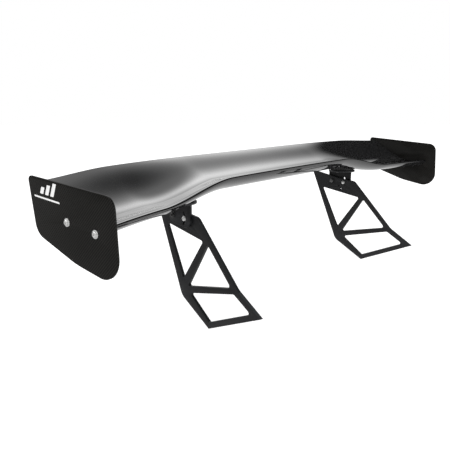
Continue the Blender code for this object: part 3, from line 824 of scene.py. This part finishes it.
def build_pedestal(side, label, body):
    edge = rounded_outline(PEDESTAL_EDGE, 12)
    windows = [rounded_outline(corners, 8) for corners in PEDESTAL_WINDOWS]
    holes = [circle(PIVOT, M8 + HOLE_GAP), circle(LOCK, M6 + HOLE_GAP)]
    holes += [circle(place, SPARE_RADIUS) for place in SPARE_HOLES]
    plate = stand_up(flat_plate("pedestal", [edge, *windows, *holes], PLATE_THICK), 0.0)
    show("shown_pedestal_" + label, plate, PLATE_BLACK, body, ["pedestal_" + label],
         plate_frame(side))


def build_joint_hardware(side, label, kind, at, shank, head, flats, body, metal):
    washer_thick = 0.0014
    nut_height = shank * 1.7
    outer_face = PLATE_THICK / 2.0 + GAP + EAR_THICK
    washer_at = outer_face + GAP + washer_thick / 2.0
    head_at = outer_face + washer_thick + 2.0 * GAP
    inner_face = -PLATE_THICK / 2.0
    length = head_at - inner_face + nut_height + 0.003
    tag = kind + "_{}_" + label
    washer = washer_mesh("washer", shank + HOLE_GAP, head * 1.3, washer_thick)
    show("shown_" + tag.format("washer"), washer, metal, body, [tag.format("washer")],
         across_plate(side, washer_at, at))
    show("shown_" + tag.format("bolt"), screw_mesh("bolt", shank, head, shank * 1.3, length, 0.012),
         metal, body, [tag.format("bolt")], across_plate(side, head_at, at))
    nut_at = inner_face - GAP - nut_height
    show("shown_" + tag.format("nut"), nut_mesh("nut", shank + HOLE_GAP, flats, nut_height),
         metal, body, [tag.format("nut")], across_plate(side, nut_at, at))


def dress_inner_nodes():
    """The hidden spar, ribs and hardpoints keep their CAD meshes and get real finishes."""
    spar_cloth = carbon("spar_cloth", "Object", TOW, (0.004, 0.004, 0.004), (0.030, 0.030, 0.030),
                        0.5, 0.1, 0.3)
    alloy = raw_metal("insert_alloy")
    finishes = {"wing_spar": spar_cloth, "end_rib_left": alloy, "end_rib_right": alloy,
                "hardpoint_left": alloy, "hardpoint_right": alloy}
    for node, material in finishes.items():
        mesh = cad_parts[node].data
        mesh.materials.clear()
        mesh.materials.append(material)


PLATE_BLACK = anodised("plate_black")
STEEL = steel("fastener_steel")
OXIDE = black_oxide("fastener_black")
RUBBER = rubber("pad_rubber_moulded")
VINYL = vinyl("decal_film")

build_wing()
dress_inner_nodes()
for wing_side, wing_label in ((-1.0, "left"), (1.0, "right")):
    bracket_body = "bracket_" + wing_label
    pedestal_body = "pedestal_" + wing_label
    build_endplate(wing_side, wing_label)
    build_bars(wing_side, wing_label)
    build_mount_pad(wing_side, wing_label)
    build_bracket(wing_side, wing_label, bracket_body)
    build_clamp_screws(wing_side, wing_label)
    build_pedestal(wing_side, wing_label, pedestal_body)
    build_joint_hardware(wing_side, wing_label, "pivot", PIVOT, M8, 0.0072, 0.013,
                         bracket_body, OXIDE)
    build_joint_hardware(wing_side, wing_label, "lock", LOCK, M6, 0.0056, 0.010,
                         pedestal_body, STEEL)


# ---------------------------------------------------------------- camera, floor and light
CAMERA_PLACE = (-1.518, -0.97862, 0.610)
CAMERA_YAW, CAMERA_PITCH = 49.98, -12.61     # degrees from +Y towards +X, and upwards
CAMERA_LENS = 44.82
FLOOR_HEIGHT, FLOOR_RADIUS = -0.035, 14.0


def build_camera():
    data = bpy.data.cameras.new("camera")
    data.lens = CAMERA_LENS
    data.sensor_width = 36.0
    data.clip_start = 0.01
    data.clip_end = 60.0
    camera = bpy.data.objects.new("camera", data)
    bpy.context.scene.collection.objects.link(camera)
    yaw, pitch = math.radians(CAMERA_YAW), math.radians(CAMERA_PITCH)
    forward = Vector((math.sin(yaw) * math.cos(pitch), math.cos(yaw) * math.cos(pitch),
                      math.sin(pitch)))
    right = forward.cross(Vector((0.0, 0.0, 1.0))).normalized()
    up = right.cross(forward)
    turn = Matrix((right, up, -forward)).transposed().to_4x4()
    camera.matrix_world = Matrix.Translation(CAMERA_PLACE) @ turn
    bpy.context.scene.camera = camera


def build_floor():
    """Pale floor a little under the feet, so that tilted pedestals never dip through it."""
    shape = bmesh.new()
    rim = [shape.verts.new((point.x, point.y, FLOOR_HEIGHT))
           for point in circle((0.0, 0.0), FLOOR_RADIUS, 96)]
    shape.faces.new(rim)
    mesh = finish_mesh("floor", shape)
    nodes = Nodes("floor_pale")
    # Camera and diffuse rays see an even glow. Glossy rays see a darker floor with a painted glow
    # that grades across it, brighter along a heading 45 degrees right of the camera's.
    reach = along_way(nodes, nodes.place("Object"), horizontal(CAMERA_YAW + 45.0))
    lit = nodes.spread(reach, -1.0, 0.1, 0.04, 0.70)
    glossy = nodes.add("ShaderNodeLightPath").outputs["Is Glossy Ray"]
    glow = nodes.blend(glossy, 0.42, lit)
    pale = nodes.tint(glossy, (0.92, 0.92, 0.92), (0.35, 0.35, 0.35))
    nodes.set(Base_Color=pale, Roughness=0.9, Specular_IOR_Level=0.0,
              Emission_Color=(1.0, 1.0, 1.0, 1.0), Emission_Strength=glow)
    mesh.materials.append(nodes.material)
    floor = bpy.data.objects.new("floor", mesh)
    bpy.context.scene.collection.objects.link(floor)


def horizontal(azimuth):
    """Unit vector at a compass angle from +Y towards +X, in degrees."""
    angle = math.radians(azimuth)
    return Vector((math.sin(angle), math.cos(angle), 0.0))


def along_way(nodes, vector, way):
    dot = nodes.add("ShaderNodeVectorMath", operation="DOT_PRODUCT")
    nodes.feed(dot.inputs[0], vector)
    dot.inputs[1].default_value = way
    return dot.outputs["Value"]


def build_world():
    """White for the camera and for dull surfaces; glossy ones see soft boxes in a dim studio."""
    world = bpy.data.worlds.new("studio")
    bpy.context.scene.world = world
    world.cycles.sampling_method = "NONE"
    nodes = Nodes("studio", world)
    way = nodes.place("Generated")
    ahead = along_way(nodes, way, horizontal(CAMERA_YAW))
    right = along_way(nodes, way, horizontal(CAMERA_YAW + 90.0))
    azimuth = nodes.math("DEGREES", nodes.math("ARCTAN2", right, ahead))
    height = along_way(nodes, way, (0.0, 0.0, 1.0))
    elevation = nodes.math("DEGREES", nodes.math("ARCSINE", height))
    aside = nodes.math("ABSOLUTE", azimuth)
    window, spread = nodes.window, nodes.spread
    boxes = (       # power, share by elevation, share by azimuth from the camera's way
        (2.3, window(elevation, 9.0, 28.0, 28.0, 42.0), window(azimuth, -22.0, 4.0, 12.0, 30.0)),
        (0.9, window(elevation, 20.0, 34.0, 60.0, 80.0), window(azimuth, -70.0, -30.0, 14.0, 30.0)),
        (0.35, spread(elevation, 62.0, 78.0, 0.0, 1.0), 1.0),
        (0.62, spread(elevation, 30.0, 50.0, 1.0, 0.0), window(azimuth, -60.0, -20.0, 2.0, 24.0)),
        (0.75, spread(elevation, 8.0, 30.0, 1.0, 0.0), window(azimuth, 50.0, 75.0, 120.0, 150.0)),
        (1.3, window(elevation, 8.0, 32.0, 40.0, 70.0), spread(aside, 125.0, 165.0, 0.0, 1.0)),
        (2.6, window(elevation, 10.0, 24.0, 40.0, 60.0),
         window(azimuth, -150.0, -125.0, -85.0, -55.0)),
    )
    glow = 0.03
    for power, rise, turn in boxes:
        share = nodes.math("MULTIPLY", nodes.math("MULTIPLY", rise, power), turn)
        glow = nodes.math("ADD", glow, share)
    glossy = nodes.add("ShaderNodeLightPath").outputs["Is Glossy Ray"]
    nodes.feed(nodes.shader.inputs["Strength"], nodes.blend(glossy, 1.0, glow))
    nodes.shader.inputs["Color"].default_value = (1.0, 1.0, 1.0, 1.0)


build_camera()
build_floor()
build_world()
bpy.context.scene.view_settings.view_transform = "Standard"
